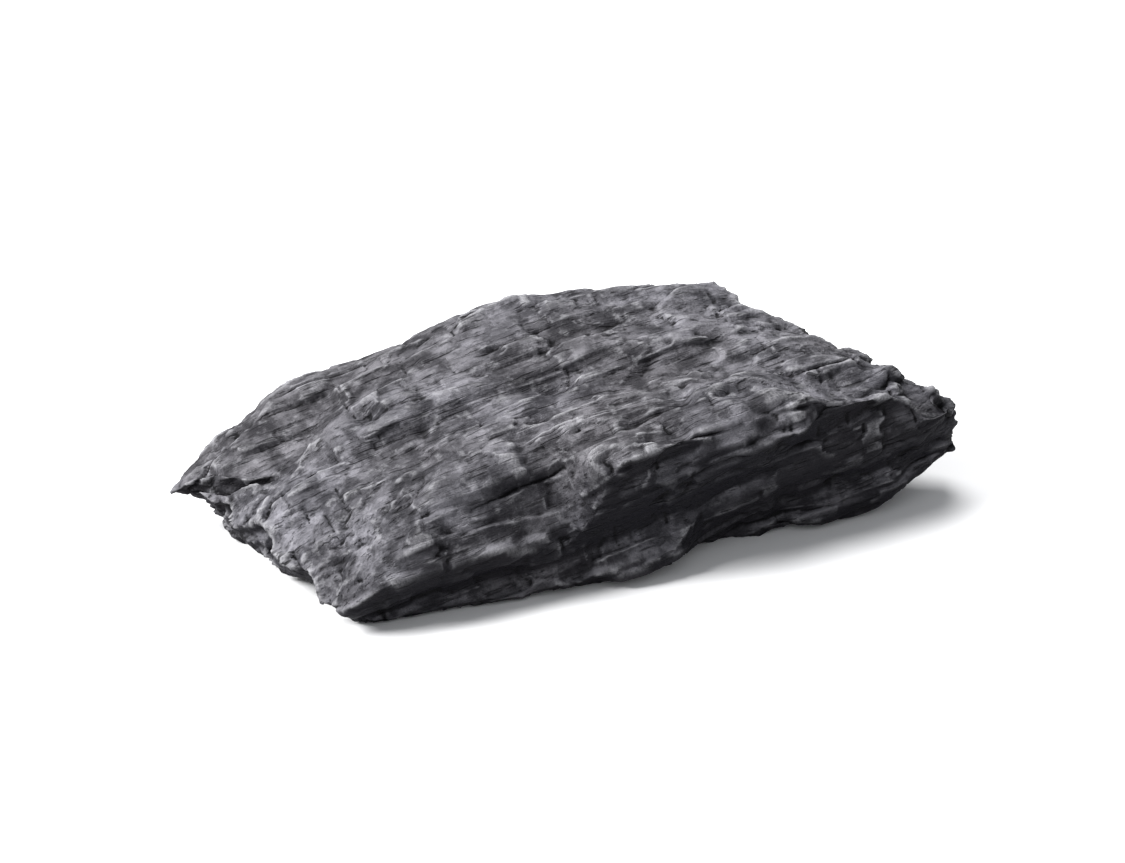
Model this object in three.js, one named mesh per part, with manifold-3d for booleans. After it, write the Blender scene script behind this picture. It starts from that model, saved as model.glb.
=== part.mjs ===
// A lump of charcoal: a wedge-shaped slab that broke from a charred branch.
//
// Millimetres, +Z up. X runs along the wood's grain, Y across it towards the back, and the lump
// lies on Z = 0. It is one piece: both ends are cross breaks, and the long faces are split along
// the grain, so the year rings of the branch stand out on them as ledges.
import * as THREE from 'three';
import { mergeVertices } from 'three/addons/utils/BufferGeometryUtils.js';
import Module from 'manifold-3d';

// Outline seen from above
const LEFT_BACK_X = -17.3;
const LEFT_FRONT_X = -13.6;
const RIGHT_BACK_X = 9.9;
const RIGHT_FRONT_X = 17.7;
const RIGHT_END_BOW = 1.1;
const FRONT_Y = -6.5;
const FRONT_BOW = 0.0026; // how fast the front side curves in on each side of its middle, per mm
const FRONT_MIDDLE_X = 2;
const BACK_Y = 8.3;
const BACK_BOW = 0.0125;
const BACK_MIDDLE_X = -4.5;

// The left end and the back side overhang their feet
const LEFT_FOOT_IN = 1.6;
const BACK_TOP_IN = 0.2;
const BACK_FOOT_IN = 1.5;
const BACK_KNEE = 0.6; // share of the height where the back side reaches furthest

// Flat facets of the top: the lowest one holds. z is the height at the point x, y.
const TOP_FACETS = [
  { x: -10, y: -6.5, z: 4.0, slopeX: 0.33, slopeY: 0.06 }, // thin left end
  { x: -6, y: -6.5, z: 5.0, slopeX: 0.19, slopeY: 0.06 }, // long rise
  { x: 1.2, y: -6.5, z: 6.3, slopeX: 0.07, slopeY: 0.06 }, // crown
  { x: 9.5, y: -6.5, z: 6.6, slopeX: -0.13, slopeY: 0.06 }, // short fall to the right end
  { x: -14, y: -6, z: 1.1, slopeX: 0.56, slopeY: 0.28 }, // worn front corner of the left end
  { x: 5.5, y: 6.2, z: 7.2, slopeX: -0.2, slopeY: -0.9 }, // chipped back edge
];
const FACET_BLEND = 0.16; // rounding where two facets meet

// The steep bevel where a flake broke off the front ridge. On the right it curves out of the side.
const BEVEL = { x: -6, y: -6.5, z: 2.5, slopeX: -0.1, slopeY: 1.2 };
const BEVEL_END_X = -2.6;
const BEVEL_END_LENGTH = 4.2;
const BEVEL_END_HEIGHT = 5;

// The edge of a flake that still clings to the foot of the front side, right of the bevel
const FLAKE_LEFT_X = -4.2;
const FLAKE_RIGHT_X = 4.6;
const FLAKE_FADE = 1.2;
const FLAKE_TOP = { x: -2.3, z: 1.1, slopeX: 0.2 };
const FLAKE_THICKNESS = 0.75;
const FLAKE_BREAK = 0.45; // height over which the flake's upper edge breaks off
const FLAKE_FOOT = 0.9; // height over which its foot curves in to the surface below

// Facets of the underside outside its flat spot: the highest one holds
const BOTTOM_FACETS = [
  { x: -11.5, y: 0, z: 0, slopeX: -0.09, slopeY: 0 },
  { x: 12.2, y: 0, z: 0, slopeX: 0.24, slopeY: 0 },
  { x: 0, y: 4.4, z: 0, slopeX: 0, slopeY: 0.38 },
  { x: 0, y: -5.6, z: 0, slopeX: 0, slopeY: -0.3 },
];
const FLAT_SPOT_DEPTH = 0.02; // how far the underside's relief is worn off at the flat spot

// The step near the right tip, where a splinter lies lower than the top
const TIP_STEP_X = 15.1;
const TIP_STEP_LENGTH = 0.5;
const TIP_STEP_HEIGHT = 0.95;
const TIP_STEP_JAG = 0.5;
const TIP_STEP_JAG_WIDTH = 0.8;

// Year rings about the pith of the branch, which lay below and behind the lump and rose with
// the grain, from the left to the right
const PITH_Y = 15;
const PITH_Z = -24;
const GRAIN_RISE = 0.16;
const RING_WIDTH = 2.1;
const RING_LEDGE = 0.36;
const TOP_LEDGE = 0.26; // the top broke along a ring, so the ledges on it are lower
const RING_WANDER = 0.75; // how far a ring strays from its circle along the grain
const RING_WANDER_LENGTH = 13;
const LATEWOOD_SHARE = 0.72; // part of a ring that rises before it breaks off in a ledge
const LEDGE_LENGTH = 9; // a ledge fades and grows again over about this length
const LEDGE_MEAN = 0.75;
const LEDGE_CHANGE = 0.45;

// Bundles of fibres on the split faces, and unevenness of the whole slab
const FIBRE_LENGTH = 7;
const FIBRE_WIDTH = 0.95;
const FIBRE_RELIEF = 0.26;
const SWELL_LENGTH = 6.5;
const SWELL_RELIEF = 0.36;

// Edges crumble by this much, more in some places than in others
const EDGE_WEAR = 0.17;
const EDGE_WEAR_CHANGE = 0.13;
const EDGE_WEAR_LENGTH = 1.7;

// Splintered cross breaks: each bundle of fibres snapped at its own length
const SPLINTER_WIDTH = 1.3;
const SPLINTER_LENGTH = 1.5;
const SPLINTER_FLAT = 0.28; // share of a bundle's width, on each side, that is level
const LEFT_BREAK_SHARE = 0.6; // the thin left end is worn smoother than the right one
const BREAK_SWELL = 0.7;
const BREAK_SWELL_WIDTH = 4;
const BREAK_FADE = 5; // a high power keeps the splinters' shift near the ends

// Hollows where a knot or a flake fell out of the top
const PITS = [
  { x: 0.1, y: 0.5, length: 1.5, width: 0.95, depth: 0.65 },
  { x: 7.3, y: -2.1, length: 0.95, width: 0.6, depth: 0.45 },
  { x: 12.6, y: -4.1, length: 0.8, width: 0.5, depth: 0.4 },
  { x: -7.4, y: -1.2, length: 1.3, width: 0.7, depth: 0.4 },
  { x: -13.6, y: -4.7, length: 0.8, width: 0.55, depth: 0.35 },
];
const PIT_FLOOR = 0.35; // share of a hollow's reach that is its floor
const PIT_RIM = 1.15;

// Cracks: the split between the two prongs of the left end, and cross checks in the surface.
// Each is a thin wedge, widest at its start, cut to its depth below the height z.
const CRACKS = [
  { from: [-19, 5.0], to: [-10.9, 2.0], bend: 0.3, width: 0.9, z: 5, depth: 4.2 },
  { from: [-6.4, 9.6], to: [-5.9, 5.2], bend: -0.2, width: 0.5, z: 7, depth: 3.6 },
  { from: [19, -0.9], to: [10.6, 0.4], bend: 0.3, width: 0.7, z: 8, depth: 2.2 },
];
const CRACK_STEPS = 7;

// The grid that the slab's surface is drawn on
const STEPS_X = 46;
const STEPS_Y = 31;
const STEPS_Z = 16;
const SEED = 41;

const CHARCOAL = new THREE.MeshStandardMaterial({ color: 0x3b3a3f, roughness: 0.72, metalness: 0 });

const { clamp, lerp, smoothstep } = THREE.MathUtils;

// A number from 0 to 1 that depends only on three whole numbers and the seed.
function scatter(i, j, k, layer) {
  let h = Math.imul(i, 374761393) ^ Math.imul(j, 668265263) ^ Math.imul(k, 2147483647);
  h = Math.imul(h ^ Math.imul(layer + SEED, 1274126177), 2246822519);
  h = Math.imul(h ^ (h >>> 15), 3266489917);
  return ((h ^ (h >>> 13)) >>> 0) / 4294967296;
}

// Smooth noise from -1 to 1, with one bump for each unit of x, y and z. The bumps are level over
// the share flat of a unit on each side, which leaves steps between them.
function noise(x, y, z, layer, flat = 0) {
  const i = Math.floor(x);
  const j = Math.floor(y);
  const k = Math.floor(z);
  const u = smoothstep(x - i, flat, 1 - flat);
  const v = smoothstep(y - j, flat, 1 - flat);
  const w = smoothstep(z - k, flat, 1 - flat);
  const edge = (dj, dk) => lerp(scatter(i, j + dj, k + dk, layer), scatter(i + 1, j + dj, k + dk, layer), u);
  const side = (dk) => lerp(edge(0, dk), edge(1, dk), v);
  return 2 * lerp(side(0), side(1), w) - 1;
}

// Height above the grain's own rise.
function aboveGrain(x, z) {
  return z - GRAIN_RISE * x;
}

// How many rings out from the pith a point lies.
function ringNumber(x, y, z) {
  const radius = Math.hypot(y - PITH_Y, aboveGrain(x, z) - PITH_Z);
  const wander = RING_WANDER * noise(x / RING_WANDER_LENGTH, y / SWELL_LENGTH, z / SWELL_LENGTH, 1);
  return (radius + wander) / RING_WIDTH;
}

// The ledge that a ring makes on a split face: it rises slowly and breaks off in its last part.
function ringLedge(x, y, z, height) {
  const ring = ringNumber(x, y, z);
  const part = ring - Math.floor(ring);
  const rise = part / LATEWOOD_SHARE;
  const drop = (1 - part) / (1 - LATEWOOD_SHARE);
  const strength = LEDGE_MEAN + LEDGE_CHANGE * noise(x / LEDGE_LENGTH, Math.floor(ring), 0, 2);
  return height * strength * (2 * Math.min(rise, drop) - 1);
}

// Relief of a face split along the grain, outwards.
function splitRelief(x, y, z, layer, ledge = RING_LEDGE) {
  const fibres = noise(x / FIBRE_LENGTH, y / FIBRE_WIDTH, aboveGrain(x, z) / FIBRE_WIDTH, layer);
  const swell = noise(x / SWELL_LENGTH, y / SWELL_LENGTH, z / SWELL_LENGTH, layer + 1);
  return ringLedge(x, y, z, ledge) + FIBRE_RELIEF * fibres + SWELL_RELIEF * swell;
}

// Relief of a cross break, outwards: fibre bundles that snapped at different lengths.
function breakRelief(x, y, z, layer) {
  const out = ringNumber(x, y, z) * RING_WIDTH;
  const round = Math.atan2(aboveGrain(x, z) - PITH_Z, y - PITH_Y) * -PITH_Z;
  const snapped = noise(out / SPLINTER_WIDTH, round / SPLINTER_WIDTH, 0, layer, SPLINTER_FLAT);
  const swell = noise(y / BREAK_SWELL_WIDTH, z / BREAK_SWELL_WIDTH, 0, layer + 1);
  return 0.5 * SPLINTER_LENGTH * snapped + BREAK_SWELL * swell;
}

function facetHeight(facet, x, y) {
  return facet.z + facet.slopeX * (x - facet.x) + facet.slopeY * (y - facet.y);
}

// The lower of two heights, with a small round where they meet.
function blendedMin(a, b) {
  const overlap = clamp((FACET_BLEND - Math.abs(a - b)) / FACET_BLEND, 0, 1);
  return Math.min(a, b) - overlap * overlap * FACET_BLEND * 0.25;
}

function pitDepth(x, y) {
  let depth = 0;
  for (const pit of PITS) {
    const reach = Math.hypot((x - pit.x) / pit.length, (y - pit.y) / pit.width);
    depth += pit.depth * (1 - smoothstep(reach, PIT_FLOOR, PIT_RIM));
  }
  return depth;
}

function bevelHeight(x, y) {
  const jog = smoothstep(x, BEVEL_END_X, BEVEL_END_X + BEVEL_END_LENGTH);
  return facetHeight(BEVEL, x, y) + BEVEL_END_HEIGHT * jog;
}

function topHeight(x, y) {
  const facets = TOP_FACETS.map((facet) => facetHeight(facet, x, y));
  const slab = [...facets, bevelHeight(x, y)].reduce(blendedMin);
  const jag = TIP_STEP_JAG * noise(y / TIP_STEP_JAG_WIDTH, 0, 0, 9);
  const step = TIP_STEP_HEIGHT * smoothstep(x + jag, TIP_STEP_X, TIP_STEP_X + TIP_STEP_LENGTH);
  return slab - step - pitDepth(x, y) + splitRelief(x, y, slab, 10, TOP_LEDGE);
}

// The underside is flat where its relief would dip below the surface that it rests on.
function bottomHeight(x, y) {
  const facets = BOTTOM_FACETS.map((facet) => facetHeight(facet, x, y));
  const relief = -splitRelief(x, y, 0, 20) - FLAT_SPOT_DEPTH;
  return Math.max(0, Math.max(0, ...facets) + relief);
}

function flakeThickness(x, z) {
  const leftEnd = smoothstep(x, FLAKE_LEFT_X, FLAKE_LEFT_X + FLAKE_FADE);
  const rightEnd = 1 - smoothstep(x, FLAKE_RIGHT_X - FLAKE_FADE, FLAKE_RIGHT_X);
  const top = FLAKE_TOP.z + FLAKE_TOP.slopeX * (x - FLAKE_TOP.x);
  const upright = smoothstep(z, 0, FLAKE_FOOT) * (1 - smoothstep(z, top, top + FLAKE_BREAK));
  return FLAKE_THICKNESS * leftEnd * rightEnd * upright;
}

function frontY(x, z) {
  const bow = FRONT_BOW * (x - FRONT_MIDDLE_X) ** 2;
  return FRONT_Y + bow - flakeThickness(x, z) - splitRelief(x, FRONT_Y, z, 30);
}

function backY(x, height, z) {
  const bow = BACK_BOW * (x - BACK_MIDDLE_X) ** 2;
  const above = Math.max(0, height - BACK_KNEE) / (1 - BACK_KNEE);
  const below = Math.max(0, BACK_KNEE - height) / BACK_KNEE;
  const inward = bow + BACK_TOP_IN * above + BACK_FOOT_IN * below;
  return BACK_Y - inward + splitRelief(x, BACK_Y, z, 40);
}

// Where a point of the slab lies: along, depth and height run from 0 to 1 through it.
function slabPoint(along, depth, height) {
  const leftX = lerp(LEFT_FRONT_X, LEFT_BACK_X, depth) + LEFT_FOOT_IN * (1 - height);
  const rightX = lerp(RIGHT_FRONT_X, RIGHT_BACK_X, depth) + 4 * RIGHT_END_BOW * depth * (1 - depth);
  const roughX = lerp(leftX, rightX, along);
  const roughY = lerp(FRONT_Y, BACK_Y, depth);
  const roughZ = lerp(bottomHeight(roughX, roughY), topHeight(roughX, roughY), height);

  const leftShift = -LEFT_BREAK_SHARE * breakRelief(roughX, roughY, roughZ, 50) * (1 - along) ** BREAK_FADE;
  const rightShift = breakRelief(roughX, roughY, roughZ, 63) * along ** BREAK_FADE;
  const x = roughX + leftShift + rightShift;
  const y = lerp(frontY(x, roughZ), backY(x, height, roughZ), depth);
  const z = lerp(bottomHeight(x, y), topHeight(x, y), height);
  return new THREE.Vector3(x, y, z);
}

// Pulls a point in where it lies on two or three of the slab's faces, as edges crumble first.
function wearEdge(point, along, depth, height) {
  const side = [along, depth, height].map((share) => (share === 0 ? 1 : share === 1 ? -1 : 0));
  const faces = Math.abs(side[0]) + Math.abs(side[1]) + Math.abs(side[2]);
  if (faces < 2) return point;
  const spot = point.clone().divideScalar(EDGE_WEAR_LENGTH);
  const wear = EDGE_WEAR + EDGE_WEAR_CHANGE * noise(spot.x, spot.y, spot.z, 70);
  point.x += side[0] * wear;
  point.y += side[1] * wear;
  if (side[2] < 0 || point.z > 0) point.z = Math.max(0, point.z + side[2] * wear);
  return point;
}

function slabGeometry() {
  const grid = new THREE.BoxGeometry(1, 1, 1, STEPS_X, STEPS_Y, STEPS_Z);
  grid.deleteAttribute('normal');
  grid.deleteAttribute('uv');
  const geometry = mergeVertices(grid);
  const position = geometry.attributes.position;
  for (let i = 0; i < position.count; i++) {
    const along = clamp(position.getX(i) + 0.5, 0, 1);
    const depth = clamp(position.getY(i) + 0.5, 0, 1);
    const height = clamp(position.getZ(i) + 0.5, 0, 1);
    const point = wearEdge(slabPoint(along, depth, height), along, depth, height);
    position.setXYZ(i, point.x, point.y, point.z);
  }
  return geometry;
}

// A crack's wedge: a thin bent tongue, seen from above, cut straight down.
function crackGeometry(crack) {
  const start = new THREE.Vector2(...crack.from);
  const end = new THREE.Vector2(...crack.to);
  const run = end.clone().sub(start);
  const across = new THREE.Vector2(-run.y, run.x).normalize();
  const edge = (share, side) => {
    const sideways = crack.bend * Math.sin(Math.PI * 2 * share) + 0.5 * side * crack.width * (1 - share);
    return start.clone().addScaledVector(run, share).addScaledVector(across, sideways);
  };
  const shares = Array.from({ length: CRACK_STEPS }, (_, i) => i / CRACK_STEPS);
  const right = shares.map((share) => edge(share, -1));
  const left = shares.map((share) => edge(share, 1)).reverse();
  const outline = new THREE.Shape([...right, end, ...left]);
  const geometry = new THREE.ExtrudeGeometry(outline, { depth: crack.depth, bevelEnabled: false });
  geometry.translate(0, 0, crack.z - crack.depth);
  geometry.deleteAttribute('normal');
  geometry.deleteAttribute('uv');
  return mergeVertices(geometry);
}

const wasm = await Module();
wasm.setup();

function toSolid(geometry) {
  const vertProperties = new Float32Array(geometry.attributes.position.array);
  const triVerts = new Uint32Array(geometry.index.array);
  return new wasm.Manifold(new wasm.Mesh({ numProp: 3, vertProperties, triVerts }));
}

function toGeometry(solid) {
  const mesh = solid.getMesh();
  const geometry = new THREE.BufferGeometry();
  geometry.setAttribute('position', new THREE.BufferAttribute(mesh.vertProperties, 3));
  geometry.setIndex(new THREE.BufferAttribute(mesh.triVerts, 1));
  geometry.computeVertexNormals();
  return geometry;
}

// Sets the lump down on Z = 0 with the middle of its bounding box over the origin.
function setDown(geometry) {
  geometry.computeBoundingBox();
  const box = geometry.boundingBox;
  const middle = box.getCenter(new THREE.Vector3());
  return geometry.translate(-middle.x, -middle.y, -box.min.z);
}

function makeLump() {
  let solid = toSolid(slabGeometry());
  for (const crack of CRACKS) solid = solid.subtract(toSolid(crackGeometry(crack)));
  const mesh = new THREE.Mesh(setDown(toGeometry(solid)), CHARCOAL);
  mesh.name = 'charcoal_lump';
  return mesh;
}

const group = new THREE.Group();
group.add(makeLump());

export default group;
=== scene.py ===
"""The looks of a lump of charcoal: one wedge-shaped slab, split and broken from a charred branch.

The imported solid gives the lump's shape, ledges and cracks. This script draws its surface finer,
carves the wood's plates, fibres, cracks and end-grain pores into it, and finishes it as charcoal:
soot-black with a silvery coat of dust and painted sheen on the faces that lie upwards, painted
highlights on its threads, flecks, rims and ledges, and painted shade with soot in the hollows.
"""
import itertools
import math

import bmesh
import bpy
import numpy as np
from mathutils import Matrix, Vector


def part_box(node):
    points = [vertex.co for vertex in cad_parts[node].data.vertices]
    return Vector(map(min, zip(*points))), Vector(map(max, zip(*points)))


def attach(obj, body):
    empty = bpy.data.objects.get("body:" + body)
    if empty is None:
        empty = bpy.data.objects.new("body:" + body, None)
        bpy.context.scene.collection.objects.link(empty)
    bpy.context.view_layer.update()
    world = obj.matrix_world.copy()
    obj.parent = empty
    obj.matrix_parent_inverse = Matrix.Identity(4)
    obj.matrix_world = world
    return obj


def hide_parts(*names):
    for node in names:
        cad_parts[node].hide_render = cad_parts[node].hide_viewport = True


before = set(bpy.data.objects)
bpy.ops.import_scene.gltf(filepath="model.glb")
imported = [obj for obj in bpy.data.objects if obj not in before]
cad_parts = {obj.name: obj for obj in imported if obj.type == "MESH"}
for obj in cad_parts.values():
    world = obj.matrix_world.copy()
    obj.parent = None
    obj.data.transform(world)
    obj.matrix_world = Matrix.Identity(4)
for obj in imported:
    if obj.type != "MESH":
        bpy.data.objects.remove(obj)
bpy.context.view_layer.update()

NODE = "charcoal_lump"
MM = 0.001

# The grain, in millimetres: it rises to the right, and the rings lie about the branch's pith
GRAIN_RISE = math.atan(0.16)
PITH_Y = 15.0
PITH_UP = -24.0
RING_WIDTH = 2.1
RAY_GAP = 1.7

# The fine surface, in millimetres: its faces are longer along X, which is close to the grain
FACE_ACROSS = 0.102
FACE_STRETCH = 1.72
WELD_GAP = 0.001
SHARP_EDGE = math.radians(50)
CAGE_LEVELS = 2
SMOOTH_BASE = 1  # times that it is averaged before it is carved
END_FACING = (0.5, 0.8)  # how squarely a face crosses the grain, from a split face to an end

# How far places are moved, in millimetres, and the sizes of the noise that moves them
BEND_ALONG = ((0.7, (2.4, 0.9, 0.9)), (0.4, (0.7, 0.3, 0.3)))
BEND_ACROSS = ((0.24, (6.5, 1.6, 1.6)), (0.06, (1.4, 0.4, 0.4)))

# Split faces, in millimetres: plates of wood, each broken off in a step, by length, width, height
PLATES = [(5.6, 1.75, 0.155), (3.1, 1.00, 0.120), (1.5, 0.56, 0.080)]
PLATE_LEVEL = (0.45, 0.43, 0.43)
SWELL_HEIGHT = 0.03
FIBRE_HEIGHT = 0.036
LAYER_THICKNESS = 0.62
LAYER_HEIGHT = 0.05
LAYER_RISE = 0.85  # the shares of a layer over which it rises and falls
LAYER_FALL = 0.15
SEAM_DEPTH = 0.24
SEAM_HALF_WIDTH = 0.085  # in the noise that draws the seams
BUNDLE_WIDTH = 0.9
CHECK_GAP = 2.6
CHECK_SHARE = 0.16
CHECK_DEPTH = 0.10
CHECK_HALF_WIDTH = 0.12
HOLLOWS = [(2.3, 0.5, 0.30, 13), (1.1, 0.4, 0.16, 16)]  # size, share of them, depth, seed

# Broken ends, in millimetres: steps between fibre bundles, by height, sizes and level share
END_STEPS = [(0.20, (1.25, 0.80), 0.44), (0.14, (0.60, 0.42), 0.42), (0.05, (0.30, 0.30), 0.2)]
EARLY_WOOD = 0.5  # share of a ring that is sunk and pitted
EARLY_DEPTH = 0.10
PORE_CELL = (0.50, 0.44)
PORE_SHARE = 0.7
PORE_DEPTH = 0.06
EARLY_PORE_DEPTH = 0.12
RAY_DEPTH = 0.24
RAY_HALF_WIDTH = 0.13

# How the surface lies: times of averaging, and the heights in millimetres that fill a range
FINE_TIMES = 4
MIDDLE_TIMES = 14
BROAD_TIMES = 40
RIDGE_RANGE = 0.12
EDGE_RANGE = 0.9
SUNK_RANGE = 0.2
LEDGE_RANGE = 0.8  # not a height, but how much more than its surroundings a face lies upwards
DUST_AND_SHEEN_FROM = (-0.32, 0.08, 0.94)  # faces turned this way carry the most of the pale coat of dust and painted sheen

# The finish
SOOT = (0.0050, 0.0047, 0.0074, 1)
GREY_SOOT = (0.0080, 0.0073, 0.0098, 1)
# A silvery coat of dust with a painted sheen, lightest on the faces that lie upwards
DUST_AND_SHEEN_SILVER = (0.188, 0.184, 0.205, 1)
DUST_AND_SHEEN_DULL_SILVER = (0.146, 0.141, 0.153, 1)
DENSE_RING = (0.042, 0.041, 0.047, 1)
# Painted highlight on the raised threads of the faces that lie upwards
PAINTED_THREAD_HIGHLIGHT = (0.262, 0.259, 0.277, 1)
# Painted highlight in flecks on the faces that lie upwards
PAINTED_FLECK_HIGHLIGHT = (0.285, 0.282, 0.299, 1)
# Painted highlight along the rims
PAINTED_RIM_HIGHLIGHT = (0.305, 0.302, 0.316, 1)
# Dust with a painted highlight on the ledges that lie upwards
LEDGE_DUST_AND_HIGHLIGHT = (0.150, 0.147, 0.162, 1)
# Painted shade with soot in the cracks, hollows and pores
HOLLOW_SHADE_AND_SOOT = (0.0055, 0.0053, 0.0060, 1)
DARK_SPECK = (0.010, 0.0098, 0.011, 1)
LUMP_SPECULAR = 0.12
BUMP_STRENGTH = 0.9
BUMP_HEIGHT = 0.10  # in millimetres

# The view: the photograph looks down on the lump, and at its front side and left end
VIEW_AZIMUTH = math.radians(-23)
VIEW_ELEVATION = math.radians(33)
LENS_MM = 180.0
SENSOR_MM = 36.0
LUMP_SHARE_OF_WIDTH = 0.74

# The stage: softboxes by name, azimuth and elevation in degrees, distance, size and watts
SOFTBOXES = [("sky box", 170, 58, 0.55, 0.36, 3.2), ("left box", -112, 36, 0.50, 0.20, 4.6)]
DAYLIGHT = (0.95, 0.97, 1.0, 1)
DAYLIGHT_STRENGTH = 0.42
FLOOR_REACH = 1.5
FLOOR_COLOUR = (0.86, 0.86, 0.865, 1)
FLOOR_ROUGHNESS = 0.8
FLOOR_SPECULAR = 0.2


def smoothstep(value, low, high):
    part = np.clip((value - low) / (high - low), 0, 1)
    return part * part * (3 - 2 * part)


def scatter(cells, seed):
    """A number from 0 to 1 for each row of whole numbers, the same on every run."""
    mixed = np.full(len(cells), (seed * 2654435761 + 97) % 4294967296, np.uint32)
    for column in cells.T:
        mixed ^= column.astype(np.int64).astype(np.uint32) * np.uint32(668265263)
        mixed = (mixed ^ (mixed >> np.uint32(15))) * np.uint32(2246822519)
        mixed = (mixed ^ (mixed >> np.uint32(13))) * np.uint32(3266489917)
    return (mixed ^ (mixed >> np.uint32(16))) / 4294967296.0


def noise(points, sizes, seed, flat=0.0):
    """Smooth noise from -1 to 1 with bumps of the given sizes, level in their middle if flat."""
    places = points / np.asarray(sizes, float)
    corner = np.floor(places)
    level = np.asarray(flat, float)
    part = smoothstep(places - corner, level, 1 - level)
    total = np.zeros(len(points))
    for step in itertools.product((0, 1), repeat=points.shape[1]):
        weight = np.prod(np.where(step, part, 1 - part), axis=1)
        total += weight * scatter(corner + step, seed)
    return 2 * total - 1


def nearest_speck(points, sizes, seed, share):
    """How far each point is from the nearest of scattered specks, in cells, up to 1.

    Each cell of the given sizes may have a speck near its middle, and that share of them has."""
    places = points / np.asarray(sizes, float)
    corner = np.floor(places)
    best = np.ones(len(points))
    for step in itertools.product((-1, 0, 1), repeat=points.shape[1]):
        cell = corner + step
        speck = np.column_stack([scatter(cell, seed + axis) for axis in range(points.shape[1])])
        gap = np.linalg.norm(cell + 0.2 + 0.6 * speck - places, axis=1)
        there = scatter(cell, seed + 11) < share
        best = np.where(there, np.minimum(best, gap), best)
    return best


def from_whole(value):
    """How far the value is from the nearest whole number."""
    return np.abs(value - np.round(value))


def groove(gap, half_width):
    """The depth of a V-shaped groove: 1 in its middle and 0 from half its width on."""
    return np.clip(1 - gap / half_width, 0, 1)


def grain_places(points):
    """Each point's place in the wood, in millimetres: along the grain, round the pith, out from it."""
    x, y, z = points.T
    along = x * math.cos(GRAIN_RISE) + z * math.sin(GRAIN_RISE)
    up = z * math.cos(GRAIN_RISE) - x * math.sin(GRAIN_RISE)
    out = np.hypot(y - PITH_Y, up - PITH_UP)
    turned = np.arctan2(up - PITH_UP, PITH_Y - y) * -PITH_UP
    return np.column_stack([along, turned, out])


def bent(wood, seed):
    """The places moved about a little, so that what is drawn on them has no straight borders."""
    moves = []
    for (broad, broad_sizes), (fine, fine_sizes) in (BEND_ALONG, BEND_ACROSS, BEND_ACROSS):
        moves.append(broad * noise(wood, broad_sizes, seed) + fine * noise(wood, fine_sizes, seed + 1))
        seed += 2
    return wood + np.column_stack(moves)


def split_relief(wood):
    """Height of the fine relief on faces split along the grain, in millimetres."""
    along, _, out = wood.T
    moved = bent(wood, 40)
    relief = SWELL_HEIGHT * noise(wood, (2.6, 1.3, 1.3), 1)
    for step, (length, width, height) in enumerate(PLATES):
        relief += height * noise(moved, (length, width, width), 4 + 50 * step, PLATE_LEVEL)

    # Thin layers of a ring, each breaking off in a small ledge
    layer = (out + 0.5 * noise(wood, (8, 3, 3), 2)) / LAYER_THICKNESS
    part = layer - np.floor(layer)
    strength = 0.6 + 0.5 * noise(wood, (5, 2, 2), 3)
    relief += LAYER_HEIGHT * strength * (np.minimum(part / LAYER_RISE, (1 - part) / LAYER_FALL) - 0.5)

    relief += FIBRE_HEIGHT * noise(wood, (5.0, 0.30, 0.30), 5)

    # Fine cracks along the grain, where a noise crosses zero
    seam = np.abs(noise(moved, (9, 1.1, 1.1), 7))
    open_here = smoothstep(noise(wood, (4, 2, 2), 8), 0.0, 0.4)
    relief -= SEAM_DEPTH * open_here * groove(seam, SEAM_HALF_WIDTH)

    # Cross checks: short straight cracks over one bundle of fibres
    bundle = np.floor(moved[:, 1:] / BUNDLE_WIDTH)
    shifted = along / CHECK_GAP + 7 * scatter(bundle, 10)
    there = scatter(np.column_stack([bundle, np.round(shifted)]), 12) < CHECK_SHARE
    relief -= there * CHECK_DEPTH * groove(from_whole(shifted) * CHECK_GAP, CHECK_HALF_WIDTH)

    # Crumbled hollows
    for size, share, depth, seed in HOLLOWS:
        gap = nearest_speck(moved, (1.5 * size, size, size), seed, share)
        relief -= depth * (1 - smoothstep(gap, 0.10, 0.40))
    return relief


def end_relief(wood):
    """Height of the fine relief on faces broken across the grain, in millimetres."""
    across = bent(wood, 60)[:, 1:]
    relief = np.zeros(len(wood))
    for step, (height, sizes, level) in enumerate(END_STEPS):
        relief += height * noise(across, sizes, 20 + step, level)

    # Each ring is sunk and pitted where it begins, and dense where it ends
    flat_wood = wood[:, 1:]
    ring = flat_wood[:, 1] / RING_WIDTH + 0.2 * noise(flat_wood, (3, 3), 23)
    early = 1 - smoothstep(ring - np.floor(ring), 0.0, EARLY_WOOD)
    pore = 1 - smoothstep(nearest_speck(flat_wood, PORE_CELL, 24, PORE_SHARE), 0.16, 0.36)
    relief -= EARLY_DEPTH * early + (PORE_DEPTH + EARLY_PORE_DEPTH * early) * pore

    # Checks that run out from the pith
    ray = flat_wood[:, 0] / RAY_GAP + 0.2 * noise(flat_wood, (1.5, 1.5), 25)
    along_ray = np.column_stack([np.round(ray), flat_wood[:, 1]])
    open_here = smoothstep(noise(along_ray, (1.0, 1.8), 26), -0.1, 0.3)
    return relief - RAY_DEPTH * open_here * groove(from_whole(ray) * RAY_GAP, RAY_HALF_WIDTH)


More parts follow.
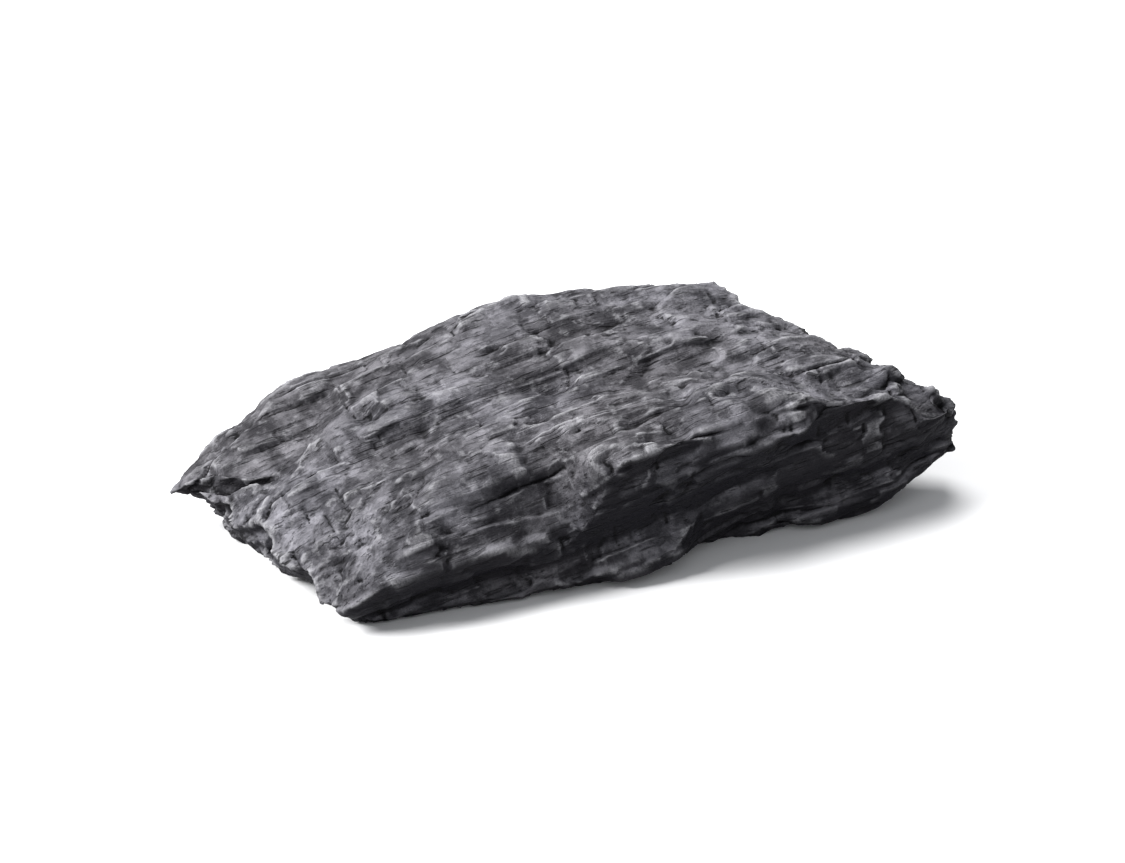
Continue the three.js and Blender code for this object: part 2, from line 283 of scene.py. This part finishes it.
class Surface:
    """A mesh as arrays, in millimetres, with its points' neighbours."""

    def __init__(self, mesh):
        self.mesh = mesh
        self.points = np.empty(len(mesh.vertices) * 3)
        mesh.vertices.foreach_get("co", self.points)
        self.points = self.points.reshape(-1, 3) / MM
        edges = np.empty(len(mesh.edges) * 2, np.int64)
        mesh.edges.foreach_get("vertices", edges)
        self.ends = edges.reshape(-1, 2)
        self.count = len(self.points)
        self.neighbours = np.maximum(np.bincount(self.ends.ravel(), minlength=self.count), 1)

    def averaged(self, values, times):
        """The values after each has gone halfway to its neighbours' average, that many times."""
        a, b = self.ends.T
        for _ in range(times):
            columns = []
            for column in np.atleast_2d(values.T):
                total = np.bincount(a, column[b], self.count) + np.bincount(b, column[a], self.count)
                columns.append(0.5 * column + 0.5 * total / self.neighbours)
            values = np.column_stack(columns) if values.ndim == 2 else columns[0]
        return values

    def normals(self):
        """The normals at the points, once the points are stored in the mesh."""
        self.mesh.vertices.foreach_set("co", (self.points * MM).ravel())
        self.mesh.update()
        flat = np.empty(self.count * 3)
        self.mesh.vertices.foreach_get("normal", flat)
        return flat.reshape(-1, 3)

    def attribute(self, name, values):
        kind = "FLOAT_VECTOR" if values.ndim == 2 else "FLOAT"
        field = "vector" if values.ndim == 2 else "value"
        made = self.mesh.attributes.new(name, kind, "POINT")
        made.data.foreach_set(field, values.astype(np.float32).ravel())


def link(name, data):
    """A new object of that name in the scene."""
    made = bpy.data.objects.new(name, data)
    bpy.context.scene.collection.objects.link(made)
    return made


def evaluated_copy(piece, name):
    """The piece's mesh with its modifiers applied, and the piece removed."""
    bpy.context.view_layer.update()
    mesh = bpy.data.meshes.new_from_object(piece.evaluated_get(bpy.context.evaluated_depsgraph_get()))
    mesh.name = name
    bpy.data.objects.remove(piece)
    return mesh


def rounded_cage(node):
    """A copy of the node with its flat triangles smoothed out and its broken edges kept sharp."""
    mesh = node.data.copy()
    cage = bmesh.new()
    cage.from_mesh(mesh)
    bmesh.ops.remove_doubles(cage, verts=cage.verts, dist=WELD_GAP * MM)
    bmesh.ops.join_triangles(
        cage, faces=cage.faces, angle_face_threshold=SHARP_EDGE, angle_shape_threshold=SHARP_EDGE
    )
    crease = cage.edges.layers.float.new("crease_edge")
    for edge in cage.edges:
        if edge.calc_face_angle(0) > SHARP_EDGE:
            edge[crease] = 1
    cage.to_mesh(mesh)
    cage.free()
    piece = link("lump_cage", mesh)
    subdivide = piece.modifiers.new("rounder", "SUBSURF")
    subdivide.levels = CAGE_LEVELS
    subdivide.render_levels = CAGE_LEVELS
    return evaluated_copy(piece, "lump_rounded")


def even_surface(mesh):
    """The same shape drawn with small even faces. It is done in millimetres, squeezed along X."""
    across = 1 / MM
    along = across / FACE_STRETCH
    mesh.transform(Matrix.Diagonal((along, across, across, 1)))
    piece = link("lump_even", mesh)
    remesh = piece.modifiers.new("even", "REMESH")
    remesh.mode = "VOXEL"
    remesh.voxel_size = FACE_ACROSS
    remesh.adaptivity = 0
    even = evaluated_copy(piece, "charcoal_surface")
    even.transform(Matrix.Diagonal((1 / along, 1 / across, 1 / across, 1)))
    return even


def carve(surface):
    """Carves the fine relief into the surface and keeps it on or above the floor."""
    grain = np.array([math.cos(GRAIN_RISE), 0, math.sin(GRAIN_RISE)])
    surface.points = surface.averaged(surface.points, SMOOTH_BASE)
    base = surface.points.copy()
    normal = surface.averaged(surface.normals(), FINE_TIMES)
    normal /= np.linalg.norm(normal, axis=1)[:, None]
    wood = grain_places(base)
    facing_end = normal @ grain
    end = smoothstep(np.abs(facing_end), *END_FACING)
    split = split_relief(wood) * (1 - end)
    snapped = end_relief(wood) * end * np.sign(facing_end)
    moved = base + split[:, None] * normal + snapped[:, None] * grain
    lowest = base[:, 2].min()
    moved[:, 2] = np.maximum(moved[:, 2], max(0.0, lowest))
    surface.points = moved
    return wood, normal, end


def describe(surface, wood, normal, end):
    """Stores what the finish needs at each point: its place in the wood, and how it lies."""
    carved_normal = surface.normals()
    fine = surface.points - surface.averaged(surface.points, FINE_TIMES)
    middle = surface.points - surface.averaged(surface.points, MIDDLE_TIMES)
    broad = surface.points - surface.averaged(surface.points, BROAD_TIMES)
    ridge = np.einsum("ij,ij->i", fine, carved_normal)
    sunk = -np.einsum("ij,ij->i", middle, normal)
    edge = np.einsum("ij,ij->i", broad, normal)
    surface.attribute("wood", wood)
    surface.attribute("ridge", np.clip(0.5 + ridge / RIDGE_RANGE, 0, 1))
    surface.attribute("edge", np.clip(0.5 + edge / EDGE_RANGE, 0, 1))
    # How squarely each face turns to the way that takes the most dust and painted sheen
    dust_and_sheen_way = np.array(DUST_AND_SHEEN_FROM) / np.linalg.norm(DUST_AND_SHEEN_FROM)
    broad_facing = surface.averaged(normal @ dust_and_sheen_way, 6)
    fine_facing = surface.averaged(carved_normal @ dust_and_sheen_way, 2)
    surface.attribute("upward", 0.6 * broad_facing + 0.4 * fine_facing)
    ledge = fine_facing - surface.averaged(broad_facing, 60)
    surface.attribute("ledge", np.clip(ledge / LEDGE_RANGE, 0, 1))
    surface.attribute("sunk", np.clip(sunk / SUNK_RANGE, 0, 1))
    surface.attribute("end_grain", end)


def make_lump(material):
    surface = Surface(even_surface(rounded_cage(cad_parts[NODE])))
    wood, normal, end = carve(surface)
    describe(surface, wood, normal, end)
    mesh = surface.mesh
    mesh.materials.clear()
    mesh.materials.append(material)
    mesh.shade_smooth()
    lump = link("charcoal_lump_surface", mesh)
    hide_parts(NODE)
    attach(lump, "root")


class Nodes:
    """Short ways to add and join shader nodes."""

    def __init__(self, name):
        self.material = bpy.data.materials.new(name)
        self.material.use_nodes = True
        self.tree = self.material.node_tree
        self.shader = self.tree.nodes["Principled BSDF"]

    def add(self, kind, inputs=None, **settings):
        node = self.tree.nodes.new(kind)
        for key, value in settings.items():
            setattr(node, key, value)
        for key, value in (inputs or {}).items():
            self.join(value, node.inputs[key])
        return node

    def join(self, value, socket):
        if isinstance(value, bpy.types.NodeSocket):
            self.tree.links.new(value, socket)
        else:
            socket.default_value = value

    def attribute(self, name, output="Fac"):
        return self.add("ShaderNodeAttribute", attribute_name=name).outputs[output]

    def math(self, operation, a, b=0.0):
        return self.add("ShaderNodeMath", {0: a, 1: b}, operation=operation).outputs[0]

    def product(self, first, *others):
        for other in others:
            first = self.math("MULTIPLY", first, other)
        return first

    def ramp(self, value, low, high, to_low=0.0, to_high=1.0):
        inputs = {"Value": value, "From Min": low, "From Max": high, "To Min": to_low, "To Max": to_high}
        return self.add("ShaderNodeMapRange", inputs, interpolation_type="SMOOTHSTEP").outputs["Result"]

    def mix(self, share, a, b):
        """Colour a with that share of colour b. They are inputs 6 and 7 of the node."""
        inputs = {"Factor": share, 6: a, 7: b}
        return self.add("ShaderNodeMix", inputs, data_type="RGBA").outputs[2]

    def scaled(self, places, per_mm):
        inputs = {0: places, 1: per_mm}
        return self.add("ShaderNodeVectorMath", inputs, operation="MULTIPLY").outputs[0]

    def noise(self, places, per_mm, detail, roughness):
        """Noise with that many bumps for each millimetre along, round and out of the wood."""
        vector = self.scaled(places, per_mm)
        inputs = {"Vector": vector, "Scale": 1.0, "Detail": detail, "Roughness": roughness}
        return self.add("ShaderNodeTexNoise", inputs).outputs["Fac"]

    def chips(self, places, per_mm, jagged):
        """One value from 0 to 1 for each chip of broken wood, with that many chips a millimetre."""
        rough = self.add("ShaderNodeTexNoise", {"Vector": places, "Scale": 1.6, "Detail": 3.0})
        inputs = {0: rough.outputs["Color"], 1: (jagged, jagged, jagged), 2: places}
        moved = self.add("ShaderNodeVectorMath", inputs, operation="MULTIPLY_ADD").outputs[0]
        inputs = {"Vector": self.scaled(moved, per_mm), "Scale": 1.0}
        cells = self.add("ShaderNodeTexVoronoi", inputs).outputs["Color"]
        return self.add("ShaderNodeSeparateColor", {"Color": cells}).outputs[0]


def charcoal():
    """Soot-black wood with dust and a painted silvery sheen: fibres, ring bands, painted highlights on
    the rims and painted shade in the hollows.
    """
    n = Nodes("charcoal")
    wood = n.attribute("wood", "Vector")
    ridge = n.attribute("ridge")
    edge = n.attribute("edge")
    ledge = n.attribute("ledge")
    upward = n.attribute("upward")
    sunk = n.attribute("sunk")
    end = n.attribute("end_grain")

    # Patterns in the wood, from the broadest to the finest
    cloud = n.noise(wood, (0.13, 0.24, 0.24), 2.0, 0.5)
    patch = n.noise(wood, (0.30, 0.46, 0.46), 3.0, 0.55)
    mottle = n.noise(wood, (0.75, 1.05, 1.05), 5.0, 0.68)
    chip = n.chips(wood, (0.75, 1.5, 1.5), 0.9)
    fleck = n.noise(wood, (1.2, 1.9, 1.9), 4.0, 0.62)
    streak = n.noise(wood, (0.9, 3.2, 3.2), 3.0, 0.6)
    splinter = n.chips(wood, (1.1, 4.2, 4.2), 0.3)
    pores = n.noise(wood, (0.4, 4.2, 4.2), 1.0, 0.5)
    fibre = n.noise(wood, (0.35, 5.0, 5.0), 4.0, 0.65)
    vessel = n.noise(wood, (0.55, 7.5, 7.5), 2.0, 0.5)
    grit = n.noise(wood, (9.0, 9.0, 9.0), 3.0, 0.7)
    thread = n.noise(wood, (1.1, 15.0, 15.0), 3.0, 0.6)

    # The silvery coat, dust with a painted sheen: lightest on the faces that lie upwards, thin in places
    # and rubbed off in others
    dust_and_sheen = n.product(
        n.ramp(upward, 0.16, 0.70),
        n.ramp(mottle, 0.38, 0.60, 0.22, 1.0),
        n.ramp(patch, 0.38, 0.60, 0.62, 1.18),
        n.ramp(streak, 0.36, 0.62, 0.72, 1.0),
        n.ramp(chip, 0.0, 1.0, 0.70, 1.08),
        n.ramp(splinter, 0.0, 1.0, 0.82, 1.05),
        n.ramp(end, 0.0, 1.0, 1.0, 0.5),
    )
    soot = n.mix(n.ramp(cloud, 0.35, 0.65), SOOT, GREY_SOOT)
    dust_and_sheen_colour = n.mix(n.ramp(cloud, 0.3, 0.7), DUST_AND_SHEEN_SILVER, DUST_AND_SHEEN_DULL_SILVER)
    colour = n.mix(dust_and_sheen, soot, dust_and_sheen_colour)

    # Broken ends show the rings, each dark where it begins and dense where it ends
    out = n.add("ShaderNodeSeparateXYZ", {0: wood}).outputs[2]
    ring = n.math("ADD", n.math("DIVIDE", out, RING_WIDTH), n.math("MULTIPLY", patch, 0.4))
    early = n.ramp(n.math("FRACT", ring), 0.05, 0.60, 1.0, 0.0)
    dense = n.product(n.math("SUBTRACT", 1.0, early), end, 0.75)
    colour = n.mix(dense, colour, DENSE_RING)

    # Painted highlights on the raised threads, flecks and rims, and dust with a painted highlight on the
    # ledges
    pale = n.product(n.ramp(ridge, 0.58, 0.90), n.ramp(upward, -0.2, 0.8, 0.06, 1.0), 0.55)
    colour = n.mix(pale, colour, PAINTED_THREAD_HIGHLIGHT)
    fleck_highlight = n.product(n.ramp(fleck, 0.55, 0.72), n.ramp(upward, 0.2, 0.9, 0.0, 0.50))
    colour = n.mix(fleck_highlight, colour, PAINTED_FLECK_HIGHLIGHT)
    rim_highlight = n.product(
        n.ramp(edge, 0.54, 0.72),
        n.ramp(grit, 0.35, 0.6, 0.3, 1.0),
        n.ramp(upward, -0.1, 0.6, 0.03, 0.85),
    )
    colour = n.mix(rim_highlight, colour, PAINTED_RIM_HIGHLIGHT)
    ledge_dust_and_highlight = n.product(
        n.ramp(ledge, 0.22, 0.66),
        n.ramp(mottle, 0.36, 0.58, 0.15, 0.75),
        n.ramp(upward, 0.0, 0.5, 0.25, 1.0),
    )
    colour = n.mix(ledge_dust_and_highlight, colour, LEDGE_DUST_AND_HIGHLIGHT)

    # Painted shade, with soot, in the cracks, hollows and pores, then dark grit and vessels
    hollow_shade_and_soot = n.math("MAXIMUM", n.ramp(ridge, 0.44, 0.14), n.ramp(sunk, 0.25, 0.95, 0.0, 0.9))
    pitted = n.product(n.ramp(early, 0.0, 1.0, 0.2, 0.95), n.ramp(pores, 0.48, 0.56), end)
    hollow_shade_and_soot = n.math("MAXIMUM", hollow_shade_and_soot, pitted)
    colour = n.mix(n.math("MULTIPLY", hollow_shade_and_soot, 0.88), colour, HOLLOW_SHADE_AND_SOOT)
    gritty = n.ramp(grit, 0.60, 0.72, 0.0, 0.40)
    speck = n.math("MAXIMUM", gritty, n.ramp(vessel, 0.58, 0.70, 0.0, 0.62))
    colour = n.mix(speck, colour, DARK_SPECK)
    n.join(colour, n.shader.inputs["Base Color"])
    n.join(n.math("MULTIPLY", dust_and_sheen, 0.35), n.shader.inputs["Metallic"])

    rough = n.ramp(fibre, 0.3, 0.7, 0.64, 0.46)
    rough = n.math("ADD", rough, n.ramp(hollow_shade_and_soot, 0.0, 1.0, 0.0, 0.25))
    n.join(rough, n.shader.inputs["Roughness"])
    n.shader.inputs["Specular IOR Level"].default_value = LUMP_SPECULAR

    height = n.math("MULTIPLY", thread, 0.55)
    for pattern, strength in ((fibre, 0.8), (grit, 0.45), (chip, 0.35), (splinter, 0.30)):
        height = n.math("ADD", height, n.math("MULTIPLY", pattern, strength))
    height = n.math("SUBTRACT", height, n.ramp(vessel, 0.56, 0.70, 0.0, 0.7))
    inputs = {"Strength": BUMP_STRENGTH, "Distance": BUMP_HEIGHT * MM, "Height": height}
    n.join(n.add("ShaderNodeBump", inputs).outputs["Normal"], n.shader.inputs["Normal"])
    return n.material


def make_floor():
    material = bpy.data.materials.new("pale floor")
    material.use_nodes = True
    shader = material.node_tree.nodes["Principled BSDF"]
    shader.inputs["Base Color"].default_value = FLOOR_COLOUR
    shader.inputs["Roughness"].default_value = FLOOR_ROUGHNESS
    shader.inputs["Specular IOR Level"].default_value = FLOOR_SPECULAR
    mesh = bpy.data.meshes.new("floor")
    sides = ((-1, -1), (1, -1), (1, 1), (-1, 1))
    mesh.from_pydata([(x * FLOOR_REACH, y * FLOOR_REACH, 0) for x, y in sides], [], [(0, 1, 2, 3)])
    mesh.materials.append(material)
    link("floor", mesh)


def towards(azimuth, elevation):
    """The direction to a point seen at that azimuth, where 0 is in front, and elevation."""
    return Vector((
        math.sin(azimuth) * math.cos(elevation),
        -math.cos(azimuth) * math.cos(elevation),
        math.sin(elevation),
    ))


def make_lights():
    for name, azimuth, elevation, distance, size, watts in SOFTBOXES:
        data = bpy.data.lights.new(name, "AREA")
        data.shape = "DISK"
        data.size = size
        data.energy = watts
        light = link(name, data)
        direction = towards(math.radians(azimuth), math.radians(elevation))
        light.location = direction * distance
        light.rotation_euler = direction.to_track_quat("Z", "Y").to_euler()
    world = bpy.data.worlds.new("studio")
    world.use_nodes = True
    background = world.node_tree.nodes["Background"]
    background.inputs["Color"].default_value = DAYLIGHT
    background.inputs["Strength"].default_value = DAYLIGHT_STRENGTH
    bpy.context.scene.world = world
    bpy.context.scene.view_settings.view_transform = "Standard"


def make_camera():
    """Looks at the lump from the photograph's angle, with the lump over most of the frame."""
    low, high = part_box(NODE)
    middle = (low + high) / 2
    back = towards(VIEW_AZIMUTH, VIEW_ELEVATION)
    turn = back.to_track_quat("Z", "Y")
    right = turn @ Vector((1, 0, 0))
    corners = [Vector(c) for c in itertools.product(*zip(low, high))]
    spread = [(c - middle).dot(right) for c in corners]
    frame_width = (max(spread) - min(spread)) / LUMP_SHARE_OF_WIDTH
    data = bpy.data.cameras.new("camera")
    data.lens = LENS_MM
    data.sensor_width = SENSOR_MM
    camera = link("camera", data)
    camera.location = middle + back * frame_width * LENS_MM / SENSOR_MM
    camera.rotation_euler = turn.to_euler()
    bpy.context.scene.camera = camera


make_camera()
make_lights()
make_floor()
make_lump(charcoal())
